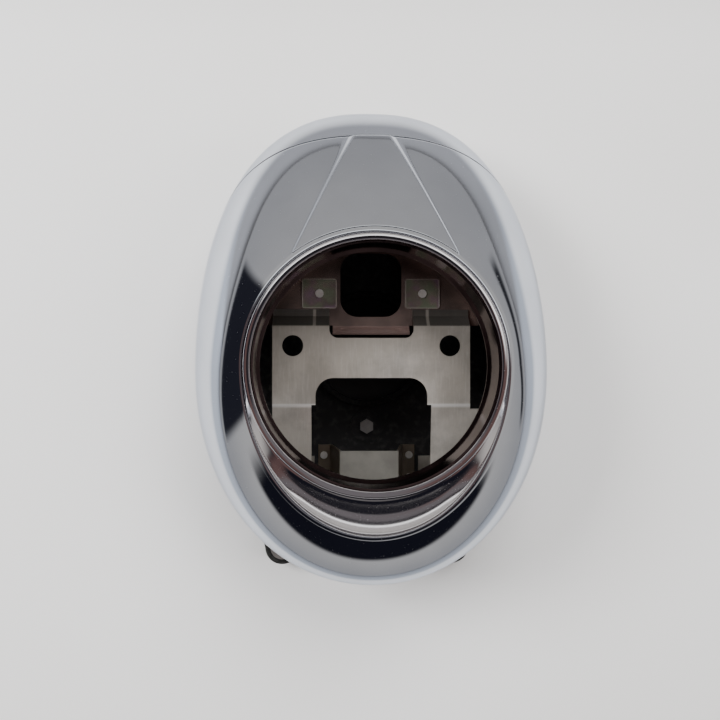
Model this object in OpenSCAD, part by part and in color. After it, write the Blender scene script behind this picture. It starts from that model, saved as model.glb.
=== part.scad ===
// Motorcycle headlight housing: a chromed teardrop shell with its bezel, lamp ring, inner stay
// and brackets. The lamp unit itself is not fitted.
// +Z points out of the lamp opening and +Y towards the top of the motorcycle.
// The origin lies on the lamp's axis, level with the lip of its bore and the bezel's crest.
// Depths are counted downwards from there, so a point at depth d has z = -d.

/* [Lamp opening] */
// Diameter of the bore that takes the lamp unit
lamp_bore_d = 148; // [146:0.5:149]
// Length of the bore, from its front lip to its rear flange
lamp_bore_length = 28.2; // [26:0.2:31]
// How far the rear flange reaches into the bore
lamp_seat_w = 1.4; // [1:0.1:3]
// Sheet of the lamp ring
ring_t = 1.2; // [1:0.1:1.3]

/* [Bezel] */
// Width of the bezel's ring, from the bore to its outer edge
bezel_w = 6.8; // [6.6:0.1:9]
// Depth of the bezel's foot
bezel_foot = 6; // [5.4:0.2:8]
// How far the chin reaches below the ring
chin_reach = 23.2; // [18:0.2:30]
// How much deeper the foot lies under the chin
chin_drop = 6; // [4:0.5:8]
// Depth of the dish in the chin
dish_depth = 3.4; // [1:0.2:4]
// Height of the bead along the chin's edge
chin_bead_h = 1.4; // [0.6:0.1:2]

/* [Shell] */
// Half of the shell's greatest width
half_w = 119.5; // [116:0.5:124]
// Reach of the shell above the lamp's axis
reach_up = 184; // [178:0.5:192]
// Reach of the shell below the lamp's axis
reach_down = 143; // [140:0.5:150]
// Depth at which the shell is widest, at the lamp's height
widest_d = 68; // [62:1:74]
// How much deeper that is at the top
crown_d = 36; // [30:1:40]
// How much less deep it is at the bottom
heel_d = 24; // [20:1:28]
// Depth from the bezel's crest to the rear face
shell_depth = 150; // [148:1:158]
// Sheet of the shell
shell_t = 1.6; // [1.2:0.1:1.8]
// Height of the fine bead round the bezel
bead_h = 0.7; // [0.3:0.1:1.2]
// Width of that bead
bead_w = 2.8; // [2:0.2:4]

/* [Spear panel] */
// Angle from the vertical at which the panel's edge meets the bezel
spear_foot = 39; // [34:1:43]
// Half width of the panel's blunt tip at the seam
spear_tip = 12.6; // [9:0.2:16]
// Height of the panel above the shell at its tip
spear_h = 2.6; // [1:0.1:4]

/* [Seam] */
// Height above the lamp's axis at which the seam crosses the top
seam_y = 153; // [148:1:158]
// Depth of the seam at the top
seam_d = 58; // [55:1:62]
// Slope of the seam, in depth for each unit of height
seam_slope = 0.5; // [0.42:0.01:0.56]
// Gap between the two shells
seam_gap = 0.8; // [0.5:0.1:1.4]

/* [Stay] */
// Width of the stay
stay_w = 135; // [128:1:138]
// Depth of the stay's flat face
stay_d = 62; // [58:1:66]
// Height of the upper bend above the lamp's axis
stay_top = 27.2; // [26:0.2:29]
// Drop of the lower bend below it
stay_bend = 26.7; // [25:0.2:28]
// Drop of the legs' rear bend below it
leg_y = 84; // [82:0.5:86]
// How much deeper the legs' rear bend lies than the face
leg_drop = 10; // [8:0.5:12]
// Length of the feet
foot_w = 15; // [13:0.5:16]
// Sheet of the stay
stay_t = 2; // [1.6:0.1:2.4]
// Diameter of the two holes in the stay
stay_hole_d = 14.4; // [12:0.2:16]
// Distance between the two holes in the stay
stay_hole_pitch = 107.4; // [105:0.2:109]
// Height of the two holes above the lamp's axis
stay_hole_y = 13.7; // [10:0.1:15]
// Half width of the cut-out under the face
cutout_half = 38.2; // [37:0.2:39]
// Drop of the cut-out's top below the lamp's axis
cutout_top = 8.3; // [6:0.1:10]
// Radius of the cut-out's upper corners
cutout_r = 12.3; // [8:0.1:14]
// Width of the notch in the upper edge
notch_w = 57.6; // [56:0.2:60]
// Height of the notch's floor above the lamp's axis
notch_y = 19; // [17:0.2:21]
// Radius of the notch's corners
notch_r = 6; // [3:0.5:8]
// Width of the ear on the right leg
stay_ear_w = 12; // [8:0.5:14]
// How far above the legs' rear bend that ear ends
stay_ear_up = 20; // [14:1:30]

/* [Upper bracket] */
// Distance of the upper bracket's floor behind the stay's face
bowl_behind = 11; // [10:0.5:14]
// Clearance of the bracket's wall outside the lamp's bore
bowl_clear = 7; // [6.6:0.2:9]
// Height of the bracket's lower edge above the lamp's axis, as a share of the bore's radius
bowl_rise = 0.378; // [0.366:0.002:0.4]
// Sheet of the two brackets
bracket_t = 1.6; // [1.2:0.1:1.8]
// Width of the window
window_w = 42.4; // [38:0.2:43]
// Distance of the window's top from the outside of the bracket's wall
window_in = 3; // [2.6:0.2:9]
// Height of the window's lower edge above the bracket's edge
window_up = 6; // [5:0.2:6.6]
// Radius of the window's corners
window_r = 12; // [6:0.5:14]
// Width of the lip under the window
lip_w = 53; // [48:0.5:54]
// How far the lip stands forward
lip_h = 5.4; // [4:0.2:6]
// Distance between the lip's two dimples
dimple_pitch = 40; // [36:0.5:46]
// Distance of the clip plates from the middle, as a share of the bore's radius
clip_out = 0.482; // [0.478:0.002:0.49]
// Height of the clip plates above the bracket's lower edge, as a share of the bore's radius
clip_rise = 0.298; // [0.296:0.002:0.31]
// Width of a clip plate, as a share of the bore's radius
clip_width = 0.324; // [0.28:0.002:0.33]
// Height of a clip plate, as a share of the bore's radius
clip_height = 0.277; // [0.24:0.002:0.28]
// Sheet of a clip plate
clip_t = 1.4; // [1:0.1:1.6]

/* [Lower bracket] */
// Height of the lower bracket's web above the rear plate
web_h = 48; // [40:1:56]
// Half width of the web
web_half = 20; // [18:0.5:21]
// How far each wing spreads
wing_spread = 7; // [5:0.5:8]
// Width of each foot of the bracket
bracket_foot = 11; // [10:0.5:12]
// Drop of the bracket's upper edge below the lamp's axis
bracket_y = 62; // [61:0.5:66]
// Length of the bracket
bracket_len = 34; // [30:1:36]

/* [Rear plate] */
// Sheet of the rear plate
plate_t = 2; // [1.6:0.1:2.6]
// Height of the skirt inside the shells
skirt_h = 12; // [8:1:16]
// Radius of the rear opening
access_r = 42; // [38:0.5:44]
// Height of the rear opening's centre above the lamp's axis
access_y = 13.5; // [12:0.5:16]
// Height of the rear opening's collar
access_h = 8; // [6:0.5:10]
// Distance of each mounting ear inside the shell's widest point
ear_in = 54; // [50:0.5:58]
// Distance of the ears above the shell's lowest point
ear_up = 3.5; // [1:0.5:5]
// Radius of the rubber dampers
damper_r = 13; // [11:0.5:14]
// Height of the rubber dampers
damper_h = 16; // [12:1:18]
// Bore of the collars in the dampers
collar_bore_d = 8.4; // [6.4:0.2:9]
// Wall of those collars
collar_t = 1.5; // [1:0.1:2]

/* [Fasteners] */
// Diameter of the screws that clamp the lamp ring
ring_screw_d = 2; // [1.4:0.1:2.2]
// Diameter of the screws that hold the upper bracket
bracket_screw_d = 3; // [2.5:0.1:3.4]
// Diameter of the screws in the stay's feet
foot_screw_d = 4; // [3:0.1:5]
// Diameter of the rivets
rivet_d = 3.6; // [3:0.1:4]
// Diameter of the bolt in the rear plate
bolt_d = 6; // [5:0.1:8]
// Drop of that bolt below the lamp's axis
bolt_drop = 47.3; // [46:0.1:48]

/* [Hidden] */
$fn = 72;
clear = 0.3;
hole_gap = 0.2;
bore_r = lamp_bore_d / 2;
bezel_t = ring_t;
wall_r = bore_r + ring_t;
bezel_r = bore_r + bezel_w;
flange_d = bezel_foot + shell_t;
flange_r = wall_r + 1.8;
ring_screw_r = (flange_r + bezel_r - bezel_t) / 2;
ring_screw_angles = [20, 160];
bowl_y = bowl_rise * bore_r;
window_h = bore_r + bowl_clear - window_in - bowl_y - window_up;
clip_x = clip_out * bore_r;
clip_y = bowl_y + clip_rise * bore_r;
clip_w = clip_width * bore_r;
clip_h = clip_height * bore_r;
ear_x = half_w - ear_in;
ear_drop = reach_down - ear_up;
floor_z = -shell_depth;
plate_d = shell_depth - plate_t;
start_gap = bead_w + 1.4;
spear_y = (bezel_r + 2) * cos(spear_foot);
spear_k = ((bezel_r + 2) * sin(spear_foot) - spear_tip) / (seam_y - spear_y);
seat_back = lamp_bore_length + ring_t;
rim_scale = 0.9;
rest_count = 23;
front_rows = 12;
rear_rows = 6;
bezel_cols = 72;
leg_half = cutout_half + 2.8;
foot_x = (stay_w / 2 + leg_half) / 2;
foot_y = foot_w / 2 - leg_y - 2;
bowl_d = stay_d + bowl_behind;
bowl_r = bore_r + bowl_clear;
bowl_top = bracket_t - bowl_d;
nut_h = 0.8 * bracket_screw_d;
rim_w = 9;
bracket_screw_r = bowl_r + rim_w / 2 + 0.8;
bracket_screw_angles = [40, 90, 140];
wing_x = web_half + wing_spread;
rivet_x = wing_x + bracket_foot * 0.6;

// Plain helpers
function mix(a, b, t) = a + (b - a) * t;
function unit(v) = v / norm(v);
function up(a) = max(0, sin(a));
function down(a) = max(0, -sin(a));
function at(r, a, d) = [r * cos(a), r * sin(a), -d];

// Outline of the shell at its widest: one superellipse above the lamp's axis, one below it
function power(a) = sin(a) > 0 ? 2.4 : 2.05;
function reach(a) = sin(a) > 0 ? reach_up : reach_down;
function outline(a) =
    pow(pow(abs(cos(a)) / half_w, power(a)) + pow(abs(sin(a)) / reach(a), power(a)), -1 / power(a));
function outline_d(a) = widest_d + crown_d * pow(up(a), 1.5) - heel_d * pow(down(a), 1.5);

// Outline of the bezel: a circle above, half an ellipse below
function bezel_out(a) = 1 / norm([cos(a) / bezel_r, sin(a) / (bezel_r + (sin(a) < 0 ? chin_reach : 0))]);
function chin(a) = bezel_out(a) - bezel_r;
function chin_part(a) = chin(a) / chin_reach;
function seat_d(a) = bezel_foot + chin_drop * chin_part(a);

// Profile of the shell: one curve from the bezel to the widest point, one from there to the rear rim
function start(a) = [bezel_out(a) + start_gap, seat_d(a) + 0.4];
function widest(a) = [outline(a), outline_d(a)];
function rim(a) = [outline(a) * rim_scale, plate_d];
function lead(a) = mix(mix(0.5, 0.78, pow(up(a), 2)), 0.55, down(a)) * (outline(a) - start(a)[0]);
function rise(a) = tan(34 - 14 * down(a)) * lead(a);
function front_curve(a, t) =
    let (p = start(a), q = p + [lead(a), rise(a)], e = widest(a))
    let (f = e - [0, mix(0.5, 0.31, up(a)) * (e[1] - p[1])])
    pow(1 - t, 3) * p + 3 * pow(1 - t, 2) * t * q + 3 * (1 - t) * t * t * f + pow(t, 3) * e;
function rear_curve(a, t) =
    let (p = widest(a), e = rim(a), q = [p[0], mix(p[1], e[1], 0.5)])
    pow(1 - t, 2) * p + 2 * (1 - t) * t * q + t * t * e;
function profile(a, s) = s < 0.7 ? front_curve(a, s / 0.7) : rear_curve(a, (s - 0.7) / 0.3);
function profile_in(a, s) =
    let (v = unit(profile(a, min(1, s + 0.01)) - profile(a, max(0, s - 0.01))))
    profile(a, s) + shell_t * [-v[1], min(v[0], (plate_d - profile(a, s)[1]) / shell_t)];

// Where the seam's plane crosses the profile, found by halving
function past_seam(a, s) =
    let (p = profile(a, s)) p[1] > seam_d + seam_slope * (seam_y - p[0] * sin(a));
function seam_s(a, lo = 0.1, hi = 1, n = 14) =
    n == 0 ? hi
    : past_seam(a, (lo + hi) / 2) ? seam_s(a, lo, (lo + hi) / 2, n - 1)
    : seam_s(a, (lo + hi) / 2, hi, n - 1);

// Half angle of the spear panel at distance r from the lamp's axis: its edges are straight lines
function spear_at(r) =
    asin(min(1, (spear_tip + spear_k * seam_y) / (r * norm([1, spear_k])))) - atan(spear_k);
function spear_angle(s, phi = 20, n = 3) =
    n == 0 ? phi : spear_angle(s, spear_at(max(bezel_r + 2, profile(90 - phi, s)[0])), n - 1);

// Columns of the front shell, clockwise from the top: the panel, its wall's foot, the rest.
// A column is [share of the panel's half angle, share of the angle beyond it, side].
rest_cols = [for (k = [0:rest_count - 1]) pow(k / rest_count, 1.05)];
columns = [
    for (k = [0:4]) [k / 4, -1, 1],
    for (g = rest_cols) [1, g, 1],
    [1, 1, 1],
    for (k = [rest_count - 1:-1:0]) [1, rest_cols[k], -1],
    for (k = [4:-1:1]) [k / 4, -1, -1],
];
function wall_angle(s) = spear_angle(s) + 1.3;
function column_angle(c, s) =
    90 - c[2] * (c[1] < 0 ? c[0] * spear_angle(s) : mix(wall_angle(s), 180, c[1]));
function lift(c, s) = c[1] < 0 ? spear_h * min(1, 0.2 + 0.8 * s / 0.36) : 0;
function column_end(c, s = 0.45, n = 4) = n == 0 ? s : column_end(c, seam_s(column_angle(c, s)), n - 1);

// One closed section of the front shell: flange, bead, outer skin down, inner skin back up
function front_section(c) =
    let (a0 = column_angle(c, 0), b = bezel_out(a0), d = seat_d(a0))
    let (last = column_end(c))
    [
        at(flange_r, a0, bezel_foot),
        at(bezel_r - 0.2, a0, bezel_foot),
        at(b + 0.4, a0, d),
        at(b + 0.5, a0, d - bead_h * 0.6),
        at(b + 0.5 + bead_w * 0.25, a0, d - bead_h),
        at(b + 0.5 + bead_w * 0.6, a0, d - bead_h * 0.8),
        at(b + 0.5 + bead_w, a0, d - bead_h * 0.1),
        for (k = [0:front_rows])
            let (s = last * k / front_rows, a = column_angle(c, s), p = profile(a, s))
            at(p[0], a, p[1] - lift(c, s)),
        for (k = [front_rows:-1:0])
            let (s = last * k / front_rows, a = column_angle(c, s), p = profile_in(a, s))
            at(p[0], a, p[1] - lift(c, s)),
        at(b + 0.4, a0, d + shell_t),
        at(bezel_r - 0.2, a0, flange_d),
        at(flange_r, a0, flange_d),
    ];

// Skin over a list of closed sections that all have the same number of points
module skin(sections, ring = true) {
    n = len(sections[0]);
    m = len(sections);
    polyhedron(
        points = [for (section = sections) each section],
        faces = [
            for (i = [0:m - (ring ? 1 : 2)], j = [0:n - 1])
                let (i2 = (i + 1) % m, j2 = (j + 1) % n)
                each [[i * n + j, i2 * n + j, i2 * n + j2], [i * n + j, i2 * n + j2, i * n + j2]],
            if (!ring) [for (j = [0:n - 1]) j],
            if (!ring) [for (j = [n - 1:-1:0]) (m - 1) * n + j],
        ]
    );
}

// Front shell with the spear panel pressed into it
module front_shell() {
    color("gainsboro")
        difference() {
            skin([for (c = columns) front_section(c)]);
            at_angles(ring_screw_angles, ring_screw_r)
                translate([0, 0, -flange_d - 1])
                    cylinder(d = ring_screw_d + hole_gap, h = shell_t + 2);
        }
}

// Rear shell: the cap behind the seam, down to the rear plate. Its two lower ends taper off
// towards the column in which the seam meets the rim.
function rear_section(c) =
    let (e = column_end(c), a = column_angle(c, e), first = min(1, e + seam_gap / 200))
    [
        for (j = [0:rear_rows])
            let (p = profile(a, mix(first, 1, j / rear_rows))) at(p[0], a, p[1]),
        for (j = [rear_rows:-1:0])
            let (p = profile_in(a, mix(first, 1, j / rear_rows))) at(p[0], a, p[1]),
    ];
function taper(c, next) =
    let (a = rear_section(c), b = rear_section(next))
    [for (i = [0:len(a) - 1]) mix(a[i], b[i], 0.8)];
module rear_shell() {
    count = len(columns);
    last = max([for (i = [0:count / 2]) column_end(columns[i]) < 0.985 ? i : 0]);
    color("gainsboro")
        skin([
            taper(columns[count - last], columns[count - last - 1]),
            for (i = [-last:last]) rear_section(columns[(i + count) % count]),
            taper(columns[last], columns[last + 1]),
        ], ring = false);
}

// Bezel: rolled ring, dished chin with a bead along its edge, one sheet
chin_rows = [0, 0.12, 0.3, 0.5, 0.7, 0.84, 0.9, 0.95, 1];
function chin_point(a, g, inner) =
    let (w = chin_part(a), dish = dish_depth * sin(180 * min(1, g / 0.84)) * (g < 0.84 ? 1 : 0))
    let (bead = chin_bead_h * (g > 0.84 && g < 1 ? 1 : 0))
    let (r = bezel_r - 0.6 + 0.6 * g + chin(a) * g, d = bezel_foot * 0.43 * (1 + g) + w * (dish - bead))
    inner ? at(r - bezel_t * (1 - w) - (g > 0.9 ? bezel_t * w : 0), a, d + bezel_t * mix(0.25, 1, w))
    : at(r, a, d);
module bezel() {
    color("silver")
        skin([
            for (k = [0:bezel_cols - 1])
                let (a = 90 - 360 * k / bezel_cols, b = bezel_out(a), gap = clear * min(1, chin_part(a) * 8))
                let (foot = seat_d(a) - gap)
                [
                    at(wall_r + clear, a, flange_d),
                    at(wall_r + clear, a, 1.4),
                    at(wall_r + 0.9, a, 0.4),
                    at(wall_r + 2.2, a, 0),
                    at(wall_r + 4, a, 0.3),
                    at(bezel_r - 1.5, a, 1.3),
                    for (g = chin_rows) chin_point(a, g, false),
                    at(b, a, foot),
                    at(b - bezel_t, a, foot - gap),
                    for (k = [len(chin_rows) - 1:-1:0]) chin_point(a, chin_rows[k], true),
                    at(bezel_r - 2.6, a, 2.3),
                    at(wall_r + 3.6, a, 1.5),
                    at(wall_r + 2.2, a, 1.3),
                    at(wall_r + clear + bezel_t, a, 2),
                    at(wall_r + clear + bezel_t, a, flange_d),
                ]
        ]);
}

// Lamp ring: bore for the lamp, seat for its rim, flanges above and below
module lamp_ring() {
    color("silver")
        difference() {
            rotate_extrude()
                polygon([
                    [bore_r, 0], [wall_r, 0], [wall_r, -flange_d], [bezel_r - 0.2, -flange_d],
                    [bezel_r - 0.2, -flange_d - ring_t], [wall_r, -flange_d - ring_t],
                    [wall_r, -lamp_bore_length], [bowl_r + rim_w, -lamp_bore_length],
                    [bowl_r + rim_w, -seat_back], [bore_r - lamp_seat_w, -seat_back],
                    [bore_r - lamp_seat_w, -lamp_bore_length], [bore_r, -lamp_bore_length],
                ]);
            at_angles(ring_screw_angles, ring_screw_r)
                translate([0, 0, -flange_d - 2])
                    cylinder(d = ring_screw_d + hole_gap, h = 4);
            at_angles(bracket_screw_angles, bracket_screw_r)
                translate([0, 0, -seat_back - 3])
                    cylinder(d = bracket_screw_d + hole_gap, h = 6);
        }
}

// Places its children at each angle, at distance r from the lamp's axis
module at_angles(angles, r) {
    for (a = angles)
        translate([r * cos(a), r * sin(a), 0])
            children();
}

// Screws that clamp the lamp ring under the shell's flange
module ring_screws() {
    color("dimgray")
        at_angles(ring_screw_angles, ring_screw_r) {
            translate([0, 0, -flange_d - ring_t - 1.6])
                cylinder(d = 2 * ring_screw_d, h = 1.6);
            translate([0, 0, -flange_d - ring_t - 1])
                cylinder(d = ring_screw_d, h = ring_t + shell_t + 1.8);
        }
}

// Outline of a sheet of thickness t bent along a line of points
function side_of(p, q, t) = t * unit([p[1] - q[1], q[0] - p[0]]);
function mitre(a, b) = (a + b) / (1 + (a * b) / (a * a));
function sheet(line, t) =
    let (n = len(line))
    concat(line, [
        for (i = [n - 1:-1:0])
            line[i] + (
                i == 0 ? side_of(line[0], line[1], t)
                : i == n - 1 ? side_of(line[n - 2], line[n - 1], t)
                : mitre(side_of(line[i - 1], line[i], t), side_of(line[i], line[i + 1], t))
            ),
    ]);

// Stay: bridge with two holes, a notch above and a cut-out below. Its upper edge lies on the
// upper bracket, its two legs stand on the rear plate, and the right leg has an ear.
function leg_at(y) = [y, -stay_d - leg_drop * (-y - stay_bend) / (leg_y - stay_bend)];
stay_line = [
    [bowl_y + 11, bowl_top + stay_t], [bowl_y + 6.4, bowl_top + stay_t], [stay_top, -stay_d],
    leg_at(-stay_bend), leg_at(-leg_y), [-leg_y - 2, -plate_d], [foot_w - leg_y - 2, -plate_d],
];
module stay_sheet(line, w) {
    rotate([90, 0, 90])
        linear_extrude(w)
            polygon(sheet(line, stay_t));
}
module rounded(w, h, r) {
    translate([r - w / 2, -h / 2])
        square([w - 2 * r, h]);
    translate([-w / 2, r - h / 2])
        square([w, h - 2 * r]);
    for (x = [-1, 1], y = [-1, 1])
        translate([x * (w / 2 - r), y * (h / 2 - r)])
            circle(r);
}
module at_feet() {
    for (x = [-1, 1])
        translate([x * foot_x, foot_y, 0])
            children();
}
module stay() {
    color("darkgray")
        difference() {
            union() {
                translate([-stay_w / 2, 0, 0])
                    stay_sheet(stay_line, stay_w);
                translate([stay_w / 2 - 1, 0, 0])
                    stay_sheet([leg_at(-stay_bend - 3), leg_at(stay_ear_up - leg_y)], stay_ear_w + 1);
            }
            for (x = [-1, 1])
                translate([x * stay_hole_pitch / 2, stay_hole_y, -stay_d - 10])
                    cylinder(d = stay_hole_d, h = 20);
            at_feet()
                translate([0, 0, -plate_d - 2])
                    cylinder(d = foot_screw_d + hole_gap, h = 10);
            translate([0, notch_y + notch_w / 2, -bowl_d])
                linear_extrude(2 * bowl_behind)
                    rounded(notch_w, notch_w, notch_r);
            translate([0, -cutout_top - leg_y / 2, -shell_depth])
                linear_extrude(shell_depth)
                    rounded(2 * cutout_half, leg_y, cutout_r);
            translate([-leg_half, -leg_y - 10, -shell_depth])
                linear_extrude(shell_depth)
                    square([2 * leg_half, leg_y + 10 - stay_bend]);
        }
}

// Screws through the stay's feet into the rear plate
module stay_screws() {
    color("dimgray")
        at_feet() {
            translate([0, 0, stay_t - plate_d])
                cylinder(d = 2 * foot_screw_d, h = 3);
            translate([0, 0, floor_z + hole_gap])
                cylinder(d = foot_screw_d, h = stay_t + plate_t);
        }
}

// Upper bracket: half-round bowl hung from the lamp ring, with a window and a dimpled lip
module upper_bracket() {
    color("rosybrown")
        difference() {
            union() {
                translate([0, 0, -bowl_d])
                    linear_extrude(bracket_t)
                        intersection() {
                            circle(bowl_r);
                            translate([-bowl_r, bowl_y])
                                square([2 * bowl_r, bowl_r]);
                        }
                intersection() {
                    rotate_extrude()
                        polygon([
                            [bowl_r - bracket_t, -bowl_d], [bowl_r, -bowl_d],
                            [bowl_r, -seat_back - bracket_t], [bowl_r + rim_w, -seat_back - bracket_t],
                            [bowl_r + rim_w, -seat_back], [bowl_r - bracket_t, -seat_back],
                        ]);
                    translate([-2 * bowl_r, bowl_y, -2 * bowl_d])
                        cube([4 * bowl_r, 2 * bowl_r, 2 * bowl_d]);
                }
                translate([-lip_w / 2, 0, 0])
                    rotate([90, 0, 90])
                        linear_extrude(lip_w)
                            polygon(sheet([
                                [bowl_y + 2, bowl_top], [bowl_y - 1, bowl_top],
                                [bowl_y - 1 - lip_h * 0.8, bowl_top + lip_h],
                            ], bracket_t));
            }
            translate([0, bowl_y + window_up + window_h / 2, -bowl_d - 5])
                linear_extrude(20)
                    rounded(window_w, window_h, window_r);
            for (x = [-1, 1]) {
                translate([x * clip_x, clip_y, -bowl_d - 5])
                    cylinder(d = rivet_d + hole_gap, h = 20);
                translate([x * dimple_pitch / 2, bowl_y - 1.8, bowl_top + lip_h * 0.7])
                    sphere(2.4);
            }
            at_angles(bracket_screw_angles, bracket_screw_r)
                translate([0, 0, -seat_back - 2 * bracket_t])
                    cylinder(d = bracket_screw_d + hole_gap, h = 3 * bracket_t);
        }
}

// Screws and nuts between the upper bracket and the lamp ring
module bracket_screws() {
    color("dimgray")
        at_angles(bracket_screw_angles, bracket_screw_r) {
            translate([0, 0, -lamp_bore_length])
                cylinder(d = 1.8 * bracket_screw_d, h = bracket_screw_d * 0.7);
            translate([0, 0, -seat_back - bracket_t - bracket_screw_d])
                cylinder(d = bracket_screw_d, h = ring_t + bracket_t + bracket_screw_d * 1.2);
        }
}
module bracket_nuts() {
    color("dimgray")
        at_angles(bracket_screw_angles, bracket_screw_r)
            translate([0, 0, -seat_back - bracket_t - nut_h])
                linear_extrude(nut_h)
                    difference() {
                        hexagon(1.8 * bracket_screw_d);
                        circle(d = bracket_screw_d + hole_gap);
                    }
}
module hexagon(across) {
    polygon([for (a = [30:60:330]) across / sqrt(3) * [cos(a), sin(a)]]);
}

// Clip plates riveted on the upper bracket
module clip_plate(x) {
    color("tan")
        difference() {
            translate([x, clip_y, bowl_top])
                linear_extrude(clip_t)
                    rounded(clip_w, clip_h, 2);
            translate([x, clip_y, -bowl_d])
                cylinder(d = rivet_d + hole_gap, h = 10);
        }
}
module clip_plate_left() {
    clip_plate(-clip_x);
}
module clip_plate_right() {
    clip_plate(clip_x);
}
module clip_rivets() {
    color("silver")
        for (x = [-1, 1])
            translate([x * clip_x, clip_y, 0]) {
                translate([0, 0, bowl_top + clip_t])
                    cylinder(d = 1.6 * rivet_d, h = 1.2);
                translate([0, 0, -bowl_d - 0.8])
                    cylinder(d = rivet_d, h = bracket_t + clip_t + 1);
                translate([0, 0, -bowl_d - 1])
                    cylinder(d = 1.4 * rivet_d, h = 1);
            }
}

// Lower bracket: channel on the rear plate, its web is the plate seen under the stay
module lower_bracket() {
    color("gray")
        difference() {
            translate([0, -bracket_y, 0])
                rotate([90, 0, 0])
                    linear_extrude(bracket_len)
                        polygon(sheet([
                            [-wing_x - bracket_foot, -plate_d], [-wing_x, -plate_d],
                            [-web_half, web_h - plate_d], [web_half, web_h - plate_d],
                            [wing_x, -plate_d], [wing_x + bracket_foot, -plate_d],
                        ], bracket_t));
            lower_fixings()
                translate([0, 0, -plate_d - 1])
                    cylinder(d = rivet_d + hole_gap, h = 10);
        }
}
module lower_fixings() {
    for (x = [-rivet_x, rivet_x], y = [0.24, 0.76])
        translate([x, -bracket_y - y * bracket_len, 0])
            children();
}
module lower_rivets() {
    color("silver")
        lower_fixings() {
            translate([0, 0, bracket_t - plate_d])
                cylinder(d = 1.6 * rivet_d, h = 1.6);
            translate([0, 0, floor_z + hole_gap])
                cylinder(d = rivet_d, h = plate_t + bracket_t);
        }
}

// Rear plate: closes the back, with a collared opening, a skirt inside the shells and two ears
function rim_points(inset) =
    [for (a = [0:5:355]) (rim(a)[0] - inset) * [cos(a), sin(a)]];
module at_ears() {
    for (x = [-1, 1])
        translate([x * ear_x, -ear_drop, 0])
            children();
}
module rear_plate() {
    color("slategray")
        difference() {
            union() {
                translate([0, 0, floor_z])
                    linear_extrude(plate_t) {
                        polygon(rim_points(0));
                        at_ears() {
                            circle(damper_r + 2);
                            translate([-damper_r - 2, 0])
                                square([2 * damper_r + 4, 3.5 * damper_r]);
                        }
                    }
                translate([0, 0, -plate_d])
                    linear_extrude(skirt_h)
                        difference() {
                            polygon(rim_points(shell_t + 0.7));
                            polygon(rim_points(2 * shell_t + 0.7));
                        }
                translate([0, access_y, -plate_d])
                    cylinder(r = access_r + shell_t, h = access_h);
            }
            translate([0, access_y, floor_z - 1])
                cylinder(r = access_r, h = access_h + plate_t + 2);
            at_ears()
                translate([0, 0, floor_z - 1])
                    cylinder(d = collar_bore_d + 2 * collar_t + hole_gap, h = plate_t + 2);
            at_feet()
                translate([0, 0, floor_z - 1])
                    cylinder(d = foot_screw_d + hole_gap, h = plate_t + 2);
            lower_fixings()
                translate([0, 0, floor_z - 1])
                    cylinder(d = rivet_d + hole_gap, h = plate_t + 2);
            translate([0, -bolt_drop, floor_z - 1])
                cylinder(d = bolt_d + hole_gap, h = plate_t + 2);
        }
}

// Pad, washer and bolt at the middle of the rear plate
module disc(r, h, up) {
    translate([0, -bolt_drop, up - plate_d])
        difference() {
            cylinder(r = r, h = h);
            translate([0, 0, -1])
                cylinder(d = bolt_d + hole_gap, h = h + 2);
        }
}
module bolt_pad() {
    color("slategray")
        disc(2.1 * bolt_d, 2, 0);
}
module centre_washer() {
    color("dimgray")
        disc(1.25 * bolt_d, 1.2, 2);
}
module centre_bolt() {
    color("dimgray")
        translate([0, -bolt_drop, 0]) {
            translate([0, 0, 3.2 - plate_d])
                linear_extrude(bolt_d * 0.7)
                    hexagon(bolt_d / 0.6);
            translate([0, 0, floor_z + hole_gap])
                cylinder(d = bolt_d, h = plate_t + 3.4);
        }
}

// Rubber edging on the collar of the rear opening
module access_edging() {
    in = access_r - clear;
    out = access_r + shell_t + clear;
    color("black")
        translate([0, access_y, 0])
            rotate_extrude()
                polygon([
                    [in - 1.4, 2 - plate_d], [in, 2 - plate_d], [in, access_h - plate_d],
                    [out, access_h - plate_d], [out, 2 - plate_d], [out + 1.6, 2 - plate_d],
                    [out + 1.6, access_h + 1 - plate_d], [out + 0.6, access_h + 2 - plate_d],
                    [in - 0.4, access_h + 2 - plate_d], [in - 1.4, access_h + 1 - plate_d],
                ]);
}

// Rubber dampers on the ears, each with a steel collar through it
module damper(side) {
    hole = collar_bore_d / 2 + collar_t + hole_gap / 2;
    waist = damper_h * 0.45;
    color("black")
        translate([side * ear_x, -ear_drop, -plate_d])
            rotate_extrude()
                polygon([
                    [hole, 0], [damper_r, 0], [damper_r, waist - 2], [damper_r - 2.5, waist],
                    [damper_r, waist + 2], [damper_r, damper_h - 1], [damper_r - 1, damper_h], [hole, damper_h],
                ]);
}
module collar(side) {
    in = collar_bore_d / 2;
    color("silver")
        translate([side * ear_x, -ear_drop, -plate_d])
            rotate_extrude()
                polygon([
                    [in, -plate_t], [in + collar_t, -plate_t], [in + collar_t, damper_h],
                    [in + 3 * collar_t, damper_h], [in + 3 * collar_t, damper_h + collar_t],
                    [in, damper_h + collar_t],
                ]);
}
module damper_left() {
    damper(-1);
}
module damper_right() {
    damper(1);
}
module collar_left() {
    collar(-1);
}
module collar_right() {
    collar(1);
}

front_shell();
rear_shell();
bezel();
lamp_ring();
ring_screws();
stay();
stay_screws();
upper_bracket();
bracket_screws();
bracket_nuts();
clip_plate_left();
clip_plate_right();
clip_rivets();
lower_bracket();
lower_rivets();
rear_plate();
bolt_pad();
centre_washer();
centre_bolt();
access_edging();
damper_left();
damper_right();
collar_left();
collar_right();
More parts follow.
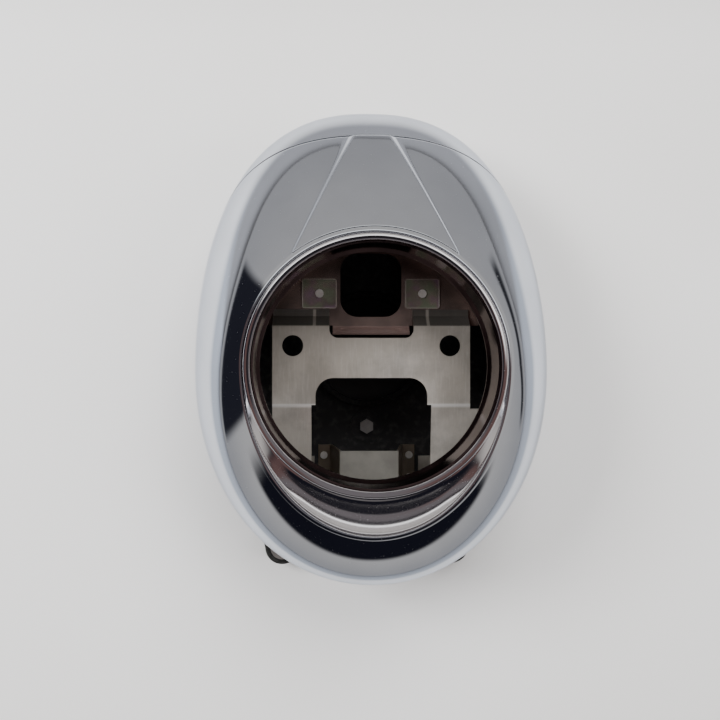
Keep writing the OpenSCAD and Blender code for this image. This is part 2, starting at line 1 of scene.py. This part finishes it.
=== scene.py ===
import bpy
import bmesh
from math import sin, cos, tan, asin, atan, pi, radians, hypot
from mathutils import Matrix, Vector


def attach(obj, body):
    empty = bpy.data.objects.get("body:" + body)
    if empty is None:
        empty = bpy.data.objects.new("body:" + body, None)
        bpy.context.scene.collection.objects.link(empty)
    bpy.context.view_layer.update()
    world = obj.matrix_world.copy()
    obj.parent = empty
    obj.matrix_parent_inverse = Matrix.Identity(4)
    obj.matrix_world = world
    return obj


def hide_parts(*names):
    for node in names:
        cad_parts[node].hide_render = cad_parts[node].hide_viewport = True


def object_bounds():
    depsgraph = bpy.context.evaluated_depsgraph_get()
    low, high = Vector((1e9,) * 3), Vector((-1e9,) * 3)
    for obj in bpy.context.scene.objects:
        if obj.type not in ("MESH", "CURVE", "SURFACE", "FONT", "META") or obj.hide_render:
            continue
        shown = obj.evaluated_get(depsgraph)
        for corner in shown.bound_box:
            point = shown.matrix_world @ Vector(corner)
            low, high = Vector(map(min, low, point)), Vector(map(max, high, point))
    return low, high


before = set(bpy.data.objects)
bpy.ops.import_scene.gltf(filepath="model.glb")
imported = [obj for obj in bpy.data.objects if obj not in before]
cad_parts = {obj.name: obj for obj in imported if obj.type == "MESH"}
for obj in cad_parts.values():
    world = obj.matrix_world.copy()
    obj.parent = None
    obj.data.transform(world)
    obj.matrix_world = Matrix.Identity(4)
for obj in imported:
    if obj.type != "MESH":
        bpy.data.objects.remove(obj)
cad_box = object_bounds()


# The camera stands a good forearm above the housing and looks straight down into the opening,
# a touch from the left, as the photograph does. The housing lies on its flat rear plate.
camera = bpy.data.objects.new("camera", bpy.data.cameras.new("camera"))
bpy.context.scene.collection.objects.link(camera)
camera.location = (-0.0249, -0.0015, 0.4554)
camera.rotation_euler = (radians(0.603), radians(-1.884), 0)
camera.data.lens = 38
camera.data.sensor_width = 36
camera.data.clip_start = 0.01
bpy.context.scene.camera = camera


# The room: a pale table under three soft lamps, bluer and darker far off. What the chrome
# mirrors comes from the world: grey walls under a dim ceiling, darkness in front, at the left
# and low at the right, and a bright window high up behind.
class Wire:
    """A socket in a shader that can be added, multiplied and so on, as in a formula."""

    def __init__(self, tree, socket):
        self.tree = tree
        self.socket = socket

    def node(self, kind, settings=None, out=0, **values):
        made = self.tree.nodes.new(kind)
        for name, value in (settings or {}).items():
            setattr(made, name, value)
        for name, value in values.items():
            key = name.replace("_", " ")
            key = int(key[1:]) if key[0] == "i" and key[1:].isdigit() else key
            if isinstance(value, Wire):
                self.tree.links.new(value.socket, made.inputs[key])
            else:
                made.inputs[key].default_value = value
        return Wire(self.tree, made.outputs[out])

    def maths(self, operation, *values):
        numbered = {f"i{place}": value for place, value in enumerate(values)}
        return self.node("ShaderNodeMath", {"operation": operation}, **numbered)

    def __add__(self, other):
        return self.maths("ADD", self, other)

    __radd__ = __add__

    def __mul__(self, other):
        return self.maths("MULTIPLY", self, other)

    __rmul__ = __mul__

    def __sub__(self, other):
        return self.maths("SUBTRACT", self, other)

    def __rsub__(self, other):
        return self.maths("SUBTRACT", other, self)

    def __abs__(self):
        return self.maths("ABSOLUTE", self)

    def between(self, low, high):
        """0 below the low value, 1 above the high one, and smooth between them."""
        return self.node(
            "ShaderNodeMapRange",
            {"interpolation_type": "SMOOTHSTEP"},
            Value=self, From_Min=low, From_Max=high,
        )

    def band(self, rise, fall):
        """1 from the end of the rise to the start of the fall, and 0 outside both."""
        return self.between(*rise) * (1 - self.between(*fall))

    def mix(self, a, b):
        """Colour a where this is 0 and colour b where it is 1."""
        return self.node(
            "ShaderNodeMix", {"data_type": "RGBA"}, out=2, i0=self,
            i6=a if isinstance(a, Wire) else (*a, 1), i7=b if isinstance(b, Wire) else (*b, 1),
        )

    def noise(self, scale, detail, roughness=0.5):
        return self.node(
            "ShaderNodeTexNoise", Vector=self, Scale=scale, Detail=detail, Roughness=roughness
        )

    def axes(self):
        """The x, y and z of a place or a direction."""
        return [self.node("ShaderNodeSeparateXYZ", out=axis, Vector=self) for axis in range(3)]


def finish_of(name, metallic=1.0, **constants):
    """A new material: gives it with the wire of its object coordinates and its main shader."""
    made = bpy.data.materials.new(name)
    made.use_nodes = True
    tree = made.node_tree
    shader = tree.nodes["Principled BSDF"]
    shader.inputs["Metallic"].default_value = metallic
    for key, value in constants.items():
        shader.inputs[key.replace("_", " ")].default_value = value
    place = tree.nodes.new("ShaderNodeTexCoord").outputs["Object"]
    return made, Wire(tree, place), shader


def feed(shader, **wires):
    for key, wire in wires.items():
        wire.tree.links.new(wire.socket, shader.inputs[key.replace("_", " ")])


table_half = 3
floor = bmesh.new()
bmesh.ops.create_grid(floor, x_segments=1, y_segments=1, size=table_half)
bmesh.ops.translate(floor, vec=(0, 0, cad_box[0].z), verts=floor.verts)
table_mesh = bpy.data.meshes.new("table")
floor.to_mesh(table_mesh)
floor.free()
table = bpy.data.objects.new("table", table_mesh)
bpy.context.scene.collection.objects.link(table)

table_paint, place, shader = finish_of("table_paint", metallic=0, Roughness=0.55)
x, y, _ = place.axes()
away = x * x + y * y
paint = place.noise(2.2, 3.0).between(0.3, 0.7).mix((0.90, 0.89, 0.875), (0.95, 0.945, 0.94))
paint = away.between(0.15, 0.35).mix(paint, (0.46, 0.49, 0.54))
paint = y.between(0.25, 0.5).mix(paint, (0.26, 0.26, 0.27))
# Painted shadow: right under the housing, inside its rear opening, the table is painted near black.
feed(shader, Base_Color=(1 - away.between(0.003, 0.008)).mix(paint, (0.03, 0.028, 0.028)))
table_mesh.materials.append(table_paint)

world = bpy.data.worlds.new("room")
world.use_nodes = True
bpy.context.scene.world = world
tree = world.node_tree
towards = Wire(tree, tree.nodes.new("ShaderNodeTexCoord").outputs["Generated"])
side, ahead, height = towards.axes()
turn = ahead.maths("ARCTAN2", ahead, side)


def towards_turn(angle, narrow, wide):
    """1 for directions that face this way round the room, 0 for all others."""
    return turn.maths("COSINE", turn - radians(angle)).between(cos(radians(wide)), cos(radians(narrow)))


walls = height.between(0.0, 0.5).mix((0.43, 0.42, 0.42), (0.57, 0.545, 0.52))
room = height.between(0.70, 0.80).mix(walls, (0.17, 0.158, 0.165))
for part_of_room, colour in (
    # The darkness right above, which leaves out the side in front
    (height.band((0.90, 0.92), (0.988, 0.994)) * (1 - towards_turn(-90, 55, 80)), (0.02, 0.018, 0.022)),
    # Two ruddy fields in front, at the left and at the right
    (
        (towards_turn(-160, 35, 55) + towards_turn(-20, 35, 55)) * height.band((0.70, 0.76), (0.93, 0.97)),
        (0.14, 0.085, 0.08),
    ),
    # The darkness in front, at the left and low at the right
    (towards_turn(-90, 46, 62) * height.band((0.37, 0.44), (0.72, 0.80)), (0.010, 0.010, 0.016)),
    (towards_turn(171, 26, 31) * height.band((-0.02, 0.02), (0.76, 0.84)), (0.02, 0.02, 0.028)),
    (towards_turn(12, 22, 30) * height.band((-0.02, 0.02), (0.04, 0.07)), (0.03, 0.03, 0.035)),
    # The window high up behind
    (towards_turn(76, 60, 78) * height.band((0.76, 0.80), (0.90, 0.93)), (1.7, 1.7, 1.68)),
):
    room = part_of_room.mix(room, colour)
seen_straight = room.node("ShaderNodeLightPath")
backdrop = seen_straight.mix(room, (0.60, 0.60, 0.60))
tree.links.new(backdrop.socket, tree.nodes["Background"].inputs["Color"])
tree.nodes["Background"].inputs["Strength"].default_value = 1.0

for name, where, size, watts in (
    ("lamp_back", (0.4, 1.3, 1.6), 1.3, 38),
    ("lamp_left", (-1.3, 0.5, 1.3), 0.8, 42),
    ("lamp_right", (1.4, -0.1, 1.4), 1.0, 12),
):
    lamp = bpy.data.objects.new(name, bpy.data.lights.new(name, "AREA"))
    bpy.context.scene.collection.objects.link(lamp)
    lamp.data.size = size
    lamp.data.energy = watts
    lamp.location = where
    lamp.rotation_euler = (-Vector(where)).to_track_quat("-Z", "Y").to_euler()
    lamp.visible_glossy = False


# The front shell: one deep pressing of sheet steel, polished and chromed, with a raised
# triangular panel above the lamp and a rolled bead round the bezel. Its rear edge stands on the
# rear plate, whose skirt clasps it.
mm = 0.001
bezel_r, chin_reach = 80.8, 23.2
half_w, reach_up, reach_down, widest_d = 119.4, 183.6, 143.0, 68.0
widest_up, widest_down = 36.0, 24.0
plate_d, sheet, rim_share = 148.0, 1.6, 0.9
bead_h, bead_w = 0.7, 2.8
spear_foot, spear_tip, spear_h = 39.0, 12.6, 2.6
seam_y, seam_d, seam_slope, seam_gap = 153.0, 58.0, 0.5, 0.8
spear_r = bezel_r + 2
spear_y = spear_r * cos(radians(spear_foot))
spear_k = (spear_r * sin(radians(spear_foot)) - spear_tip) / (seam_y - spear_y)


def blend(a, b, t):
    """The value a share t of the way from a to b."""
    return a + (b - a) * t


def ease(t):
    """0 up to t = 0, 1 from t = 1 on, and smooth between them."""
    t = max(0.0, min(1.0, t))
    return t * t * (3 - 2 * t)


def outline(a):
    """The shell's half width towards the angle a, where it is widest."""
    power, far = (2.4, reach_up) if sin(a) > 0 else (2.05, reach_down)
    return ((abs(cos(a)) / half_w) ** power + (abs(sin(a)) / far) ** power) ** (-1 / power)


def outline_d(a):
    """The depth at which the shell is widest: deeper at the top, less deep below."""
    return widest_d + widest_up * max(0, sin(a)) ** 1.5 - widest_down * max(0, -sin(a)) ** 1.5


def bezel_out(a):
    """The bezel's outer edge: a circle above, half an ellipse round the chin below."""
    far = bezel_r + (chin_reach if sin(a) < 0 else 0)
    return 1 / hypot(cos(a) / bezel_r, sin(a) / far)


def chin_part(a):
    """How much of the chin there is at this angle, from 0 to 1."""
    return (bezel_out(a) - bezel_r) / chin_reach


def seat_d(a):
    """The depth of the bezel's seat on the shell."""
    return 6 + 6 * chin_part(a)


widest_at = 0.7


def profile(a, s):
    """Distance from the lamp's axis and depth, a share s of the way from bezel to rear rim.

    The line leaves the bezel at a slope, 34 degrees at the sides and 20 below, swells out to the
    widest place and bends in from there to the rim.
    """
    up, down = max(0, sin(a)), max(0, -sin(a))
    begin = Vector((bezel_out(a) + bead_w + 1.4, seat_d(a) + 0.4))
    widest = Vector((outline(a), outline_d(a)))
    if s > widest_at:
        t = (s - widest_at) / (1 - widest_at)
        end = Vector((outline(a) * rim_share, plate_d))
        knee = Vector((widest.x, blend(widest.y, end.y, 0.5)))
        return (1 - t) ** 2 * widest + 2 * (1 - t) * t * knee + t * t * end
    t = s / widest_at
    lead = blend(blend(0.5, 0.78, up * up), 0.55, down) * (widest.x - begin.x)
    first = begin + Vector((lead, tan(radians(34 - 14 * down)) * lead))
    second = widest - Vector((0, blend(0.5, 0.31, up) * (widest.y - begin.y)))
    return (
        (1 - t) ** 3 * begin + 3 * (1 - t) ** 2 * t * first + 3 * (1 - t) * t * t * second + t**3 * widest
    )


def seam_s(a):
    """The share of the way at which the shell meets the slanting plane of the seam."""
    low, high = 0.1, 1.0
    for _ in range(18):
        s = (low + high) / 2
        p = profile(a, s)
        if p.y > seam_d + seam_slope * (seam_y - p.x * sin(a)):
            high = s
        else:
            low = s
    return high


def spear_angle(s):
    """Half angle of the raised panel: its edges are straight lines that close in on the seam."""
    phi = radians(20)
    for _ in range(4):
        r = max(spear_r, profile(pi / 2 - phi, s).x)
        phi = asin(min(1, (spear_tip + spear_k * seam_y) / (r * hypot(1, spear_k)))) - atan(spear_k)
    return phi


def put(r, a, d):
    """The place, in metres, at a distance from the axis, an angle round it and a depth."""
    return Vector((r * cos(a), r * sin(a), -d)) * mm


panel_part, wall_part = 0.16, 0.19
wall_width = radians(1.9)


def way_round(u, s):
    """Angle at a place u round the shell, from 0 at the top to 1 at the top again."""
    side = 1 if u <= 0.5 else -1
    w = 2 * min(u, 1 - u)
    edge = spear_angle(s)
    if w < panel_part:
        phi = edge * w / panel_part
    elif w < wall_part:
        phi = edge + wall_width * (w - panel_part) / (wall_part - panel_part)
    else:
        phi = blend(edge + wall_width, pi, (w - wall_part) / (1 - wall_part))
    return pi / 2 - side * phi


def panel_lift(u, s):
    """How far the panel stands out of the shell: it rises from a fifth of its height at the bezel."""
    w = 2 * min(u, 1 - u)
    return spear_h * min(1, 0.2 + 0.8 * s / 0.36) * ease((wall_part - w) / (wall_part - panel_part))


def along(points, t):
    """A share t of the way along a smooth line, which leaves out the first and last point."""
    k = min(int(t * (len(points) - 3)), len(points) - 4)
    f = t * (len(points) - 3) - k
    p0, p1, p2, p3 = (Vector(p) for p in points[k:k + 4])
    return 0.5 * (
        2 * p1 + (p2 - p0) * f + (2 * p0 - 5 * p1 + 4 * p2 - p3) * f * f + (3 * p1 - p0 - 3 * p2 + p3) * f**3
    )


def bead_point(a, t):
    """The rolled bead round the bezel, from its inner edge to where the shell goes on."""
    b, d = bezel_out(a), seat_d(a)
    return along([
        (b + 0.4, d + 0.6), (b + 0.4, d), (b + 0.5, d - 0.6 * bead_h), (b + 0.5 + 0.25 * bead_w, d - bead_h),
        (b + 0.5 + 0.6 * bead_w, d - 0.8 * bead_h), (b + 0.5 + bead_w, d - 0.1 * bead_h),
        (b + 1.4 + bead_w, d + 0.4), (b + 2.3 + bead_w, d + 1.0),
    ], t)


def loft(columns, rows, where):
    """A sheet of quads: a grid whose every corner is placed by where(u, v)."""
    made = bmesh.new()
    bmesh.ops.create_grid(made, x_segments=columns, y_segments=rows, size=0.5)
    for vert in made.verts:
        vert.co = where(vert.co.x + 0.5, vert.co.y + 0.5)
    bmesh.ops.remove_doubles(made, verts=made.verts, dist=1e-6)
    bmesh.ops.recalc_face_normals(made, faces=made.faces)
    return made


def outwards(made, probe):
    """Turns the faces so that the one nearest the probe looks towards it."""
    near = min(made.faces, key=lambda f: (f.calc_center_median() - probe).length)
    if near.normal.dot(probe - near.calc_center_median()) < 0:
        bmesh.ops.reverse_faces(made, faces=made.faces)


def piece(name, made, material, thickness):
    """Makes the sheet an object that rides on the housing, with its thickness on the inside."""
    mesh = bpy.data.meshes.new(name)
    made.to_mesh(mesh)
    made.free()
    mesh.materials.append(material)
    for face in mesh.polygons:
        face.use_smooth = True
    shown = bpy.data.objects.new(name, mesh)
    bpy.context.scene.collection.objects.link(shown)
    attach(shown, "root")
    wall = shown.modifiers.new("wall", "SOLIDIFY")
    wall.thickness = thickness
    wall.offset = -1
    wall.use_even_offset = True
    return shown


seam_cache = {}


def front_end(u):
    """The share of the way at which the front shell ends, at a place u round it."""
    if u not in seam_cache:
        s = 0.45
        for _ in range(6):
            s = seam_s(way_round(u, s))
        seam_cache[u] = s
    return seam_cache[u]


bead_share, curl_share = 0.14, 0.008


def front_place(u, v):
    """The front shell: the bead, then the profile up to the seam, with the edge curled in there."""
    if v < bead_share:
        a = way_round(u, 0)
        p = bead_point(a, v / bead_share)
        return put(p.x, a, p.y)
    t = (v - bead_share) / (1 - bead_share)
    s = front_end(u) * t
    a = way_round(u, s)
    p = profile(a, s)
    curl = 0.7 * ease((t - (1 - curl_share)) / curl_share) if front_end(u) < 0.98 else 0
    return put(p.x - 0.6 * curl, a, p.y - panel_lift(u, s) + curl)


def chrome(name, tint, haze, specks):
    """Polished chrome: hardly any haze, fine hairlines, a little dust and a soft ripple."""
    made, place, shader = finish_of(name, Specular_Tint=(0.70, 0.72, 0.76, 1))
    clouds = place.noise(26.0, 4.0)
    stretched = place.node("ShaderNodeMapping", Vector=place, Scale=(60.0, 1500.0, 60.0))
    hairlines = stretched.noise(1.0, 1.0).between(0.62, 0.8)
    dust = place.noise(900.0, 2.0).between(0.72 - specks, 0.76)
    colour = clouds.between(0.3, 0.7).mix(tint, tuple(0.93 * c for c in tint))
    feed(
        shader,
        Base_Color=(dust * 0.5).mix(colour, (0.62, 0.62, 0.62)),
        Roughness=clouds * haze + 0.02 + hairlines * 0.05 + dust * 0.3,
        Normal=place.node("ShaderNodeBump", Strength=0.03, Distance=0.002, Height=place.noise(14.0, 1.0)),
    )
    return made


shell_chrome = chrome("shell_chrome", (0.66, 0.69, 0.745), 0.05, 0.0)
made = loft(320, 140, front_place)
outwards(made, Vector((0.4, 0, 0.1)))
front_shell = piece("front_shell_pressing", made, shell_chrome, sheet * mm)
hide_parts("front_shell")


# The rear shell: the cap behind the seam, the same chromed sheet. Its front edge is curled
# inwards, and the narrow gap before it is the dark line across the top.
turn_steps, rim_end = 400, 0.995
turns = [step / turn_steps for step in range(turn_steps + 1)]
rear_turns = [u for u in turns if front_end((u + 0.5) % 1) < rim_end]


def rear_place(u, v):
    """The rear shell: the same profile from behind the seam's gap to the rim."""
    w = (blend(rear_turns[0], rear_turns[-1], u) + 0.5) % 1
    end = front_end(w)
    a = way_round(w, end)
    p = profile(a, blend(end + seam_gap / 200, 1, v**1.4))
    curl = 0.9 * ease(1 - v / 0.012)
    return put(p.x - 0.5 * curl, a, p.y + 0.6 * curl)


made = loft(300, 90, rear_place)
outwards(made, Vector((0, 0.4, -0.1)))
rear_shell = piece("rear_shell_pressing", made, shell_chrome, sheet * mm)
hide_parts("rear_shell")


# The bezel: one chromed pressing, a rolled ring round the lamp that runs out below into a
# dished chin with a bead along its edge. Its foot stands on the front shell's flange, and the
# dish is hazy from rubbing.
wall_r, flange_d, bezel_sheet = 75.2, 7.6, 1.1
dish_depth, dish_part, chin_bead = 3.0, 0.84, 1.3


def bezel_line(a):
    """The bezel's section as a line of points, from its inner lip to its foot."""
    w, c, b = chin_part(a), bezel_out(a) - bezel_r, bezel_out(a)
    line = [
        (wall_r + 0.3, flange_d), (wall_r + 0.3, 4.0), (wall_r + 0.3, 1.3), (wall_r + 0.6, 0.3),
        (wall_r + 1.3, 0.03), (wall_r + 3.4, 0.17), (bezel_r - 1.0, 0.6), (bezel_r - 0.65, 1.5),
    ]
    for g in (0.0, 0.12, 0.3, 0.5, 0.7, dish_part, 0.9, 0.95, 1.0):
        dish = dish_depth * sin(pi * (g / dish_part) ** 1.4) * ease((w - 0.35) / 0.4) if g < dish_part else 0
        bead = chin_bead if dish_part < g < 1 else 0
        line.append((bezel_r - 0.6 + 0.6 * g + c * g, 2.58 + 2.58 * g + w * (dish - bead)))
    return line + [(b, seat_d(a) - 0.3 * min(1, 8 * w))]


def bezel_place(u, v):
    a = pi / 2 - 2 * pi * u
    line = bezel_line(a)
    p = along([line[0]] + line + [line[-1]], v)
    return put(p.x, a, p.y)


def dress(made):
    """The main shader of a finish and the wire of its object coordinates."""
    tree = made.node_tree
    return tree.nodes["Principled BSDF"], Wire(tree, tree.nodes["Texture Coordinate"].outputs["Object"])


def fed(shader, key):
    """What already feeds a socket of the main shader."""
    link = shader.inputs[key].links[0]
    return Wire(link.id_data, link.from_socket)


bezel_chrome = chrome("bezel_chrome", (0.79, 0.77, 0.79), 0.06, 0.03)
shader, place = dress(bezel_chrome)
x, y, _ = place.axes()
rubbed = (x * x + y * y).between(0.0068, 0.0072) * (1 - y.between(-0.07, -0.05))
feed(shader, Roughness=fed(shader, "Roughness") + rubbed * 0.14)
made = loft(360, 96, bezel_place)
outwards(made, Vector((0, 0, 0.4)))
bezel = piece("bezel_pressing", made, bezel_chrome, bezel_sheet * mm)
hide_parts("bezel")


# The lamp ring: turned and formed steel, duller than the shell. Its bore is what grips the
# rim of the lamp, and its front flange is clamped under the front shell.
def steel(name, tint, rough, mottle, grain, metallic=1.0, bumps=0.12):
    """Plated or bare sheet steel: mottled, with fine grain and darker patches."""
    made, place, shader = finish_of(name, metallic)
    patches = place.noise(34.0, 6.0, 0.62)
    fine = place.noise(grain, 3.0)
    feed(
        shader,
        Base_Color=patches.between(0.32, 0.68).mix(tuple(mottle * c for c in tint), tint),
        Roughness=patches * 0.12 + fine * 0.08 + (rough - 0.1),
        Normal=place.node("ShaderNodeBump", Strength=bumps, Distance=0.0004, Height=fine),
    )
    return made


def refinish(name, material):
    """Gives a CAD node its finish."""
    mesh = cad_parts[name].data
    mesh.materials.clear()
    mesh.materials.append(material)


refinish("lamp_ring", steel("ring_steel", (0.27, 0.19, 0.18), 0.13, 0.6, 300.0, bumps=0.03))


# The stay: a pressed plate of zinc-plated steel that bridges the opening on two legs, dull
# and cloudy, brushed upright, with two large holes for the lamp's fixings. Its upper flange
# has painted shade but for two bright steps, and its legs' bend has a painted highlight.
flange_y, bend_y, step_x = 0.0274, -0.0270, 0.0390
zinc = steel("zinc", (0.72, 0.67, 0.61), 0.38, 0.62, 700.0, metallic=0.65)
shader, place = dress(zinc)
x, y, _ = place.axes()
upright = place.node("ShaderNodeMapping", Vector=place, Scale=(900.0, 90.0, 90.0))
cloudy = place.noise(13.0, 2.0).between(0.35, 0.65)
brushed = upright.noise(1.0, 2.0).between(0.45, 0.75)
step = abs(x).band((step_x - 0.0015, step_x - 0.0005), (step_x + 0.0005, step_x + 0.0015))
# Painted shade: the upper flange is painted near black, all but the two steps.
flange = y.between(flange_y - 0.0006, flange_y + 0.0006) * (1 - step * 0.8)
shaded = y.between(0.002, 0.026) * (1 - abs(x).between(0.012, 0.05) * 0.4)
# Painted highlight: a bright band across the bend of the legs.
bend_highlight = y.band((bend_y - 0.0022, bend_y - 0.0002), (bend_y + 0.0002, bend_y + 0.0018))
tint = (cloudy * 0.55).mix(fed(shader, "Base Color"), (0.40, 0.36, 0.30))
tint = (brushed * 0.14).mix(tint, (0.86, 0.85, 0.82))
tint = (flange * 0.86).mix(tint, (0.03, 0.03, 0.03))
tint = (shaded * 0.35).mix(tint, (0.16, 0.14, 0.12))
feed(shader, Base_Color=(bend_highlight * 0.75).mix(tint, (0.95, 0.93, 0.90)))
refinish("stay", zinc)


# The upper bracket: a half-round bowl of bare steel that has gone brown, screwed to the lamp
# ring. Its lip, below the flange of the stay, is lighter and pink.
brown = steel("brown_steel", (0.34, 0.25, 0.22), 0.24, 0.5, 420.0, metallic=0.8)
shader, place = dress(brown)
_, y, _ = place.axes()
lip = 1 - y.between(flange_y - 0.0006, flange_y + 0.0004)
feed(shader, Base_Color=(lip * 0.8).mix(fed(shader, "Base Color"), (0.66, 0.46, 0.42)))
refinish("upper_bracket", brown)


# The clip plates: two small plates of plated steel, riveted to the upper bracket, stained
# mauve and green, with lighter edges.
clip_x, clip_y = 0.03567, 0.05003
clip_steel = steel("clip_steel", (0.44, 0.36, 0.31), 0.24, 0.55, 240.0, metallic=0.75, bumps=0.04)
shader, place = dress(clip_steel)
x, y, _ = place.axes()
stain = place.noise(70.0, 2.0)
tint = stain.between(0.3, 0.5).mix((0.40, 0.26, 0.36), fed(shader, "Base Color"))
tint = stain.between(0.42, 0.6).mix(tint, (0.33, 0.37, 0.26))
rim = abs(abs(x) - clip_x).between(0.0110, 0.0115) + abs(y - clip_y).between(0.0094, 0.0099)
feed(shader, Base_Color=(rim * 0.7).mix(tint, (0.80, 0.74, 0.66)))
refinish("clip_plate_left", clip_steel)
refinish("clip_plate_right", clip_steel)


# The lower bracket: a channel of grey steel, riveted to the rear plate. Its two wings have
# gone brown.
grey = steel("grey_steel", (0.44, 0.42, 0.38), 0.4, 0.7, 420.0, metallic=0.6)
shader, place = dress(grey)
x, _, _ = place.axes()
wings = abs(x).between(0.0205, 0.0225)
feed(shader, Base_Color=(wings * 0.75).mix(fed(shader, "Base Color"), (0.15, 0.10, 0.06)))
refinish("lower_bracket", grey)


# The small fasteners: plated steel screws, nuts, the centre bolt and the dampers' two collars,
# and the rivets of the clip plates and of the lower bracket, painted brighter as a highlight.
fastener = steel("fastener_steel", (0.50, 0.48, 0.46), 0.35, 0.7, 900.0, metallic=0.8)
for name in (
    "ring_screws", "stay_screws", "bracket_screws", "bracket_nuts", "centre_bolt", "collar_left",
    "collar_right",
):
    refinish(name, fastener)
# Painted highlight: the rivets get a brighter, less metallic copy of the steel, so their domes look lit.
rivet_steel_painted_highlight = steel("rivet_steel_painted_highlight", (0.80, 0.76, 0.72), 0.3, 0.8, 900.0, metallic=0.5)
for name in ("clip_rivets", "lower_rivets"):
    refinish(name, rivet_steel_painted_highlight)


# The rear plate with its pad and the centre bolt's washer: steel painted black, which closes
# the back of the housing.
def dull_black(name, scale, edges, dark, light, gloss, bumps):
    """Black paint or rubber: flat, with a fine uneven grain. The gloss is a pair, spread and least."""
    made, place, shader = finish_of(name, metallic=0.0)
    grain = place.noise(scale, 4.0)
    feed(
        shader,
        Base_Color=grain.between(*edges).mix(dark, light),
        Roughness=grain * gloss[0] + gloss[1],
        Normal=place.node("ShaderNodeBump", Strength=bumps, Distance=0.0003, Height=grain),
    )
    return made


black_paint = dull_black(
    "black_paint", 240.0, (0.45, 0.75), (0.018, 0.017, 0.018), (0.05, 0.048, 0.047), (0.3, 0.3), 0.15
)
for name in ("rear_plate", "bolt_pad", "centre_washer"):
    refinish(name, black_paint)


# The rubber parts: the edging of the rear opening and the two dampers on the ears, moulded
# black rubber that is pushed into place.
black_rubber = dull_black(
    "black_rubber", 520.0, (0.4, 0.7), (0.012, 0.012, 0.012), (0.035, 0.034, 0.033), (0.25, 0.55), 0.2
)
for name in ("access_edging", "damper_left", "damper_right"):
    refinish(name, black_rubber)
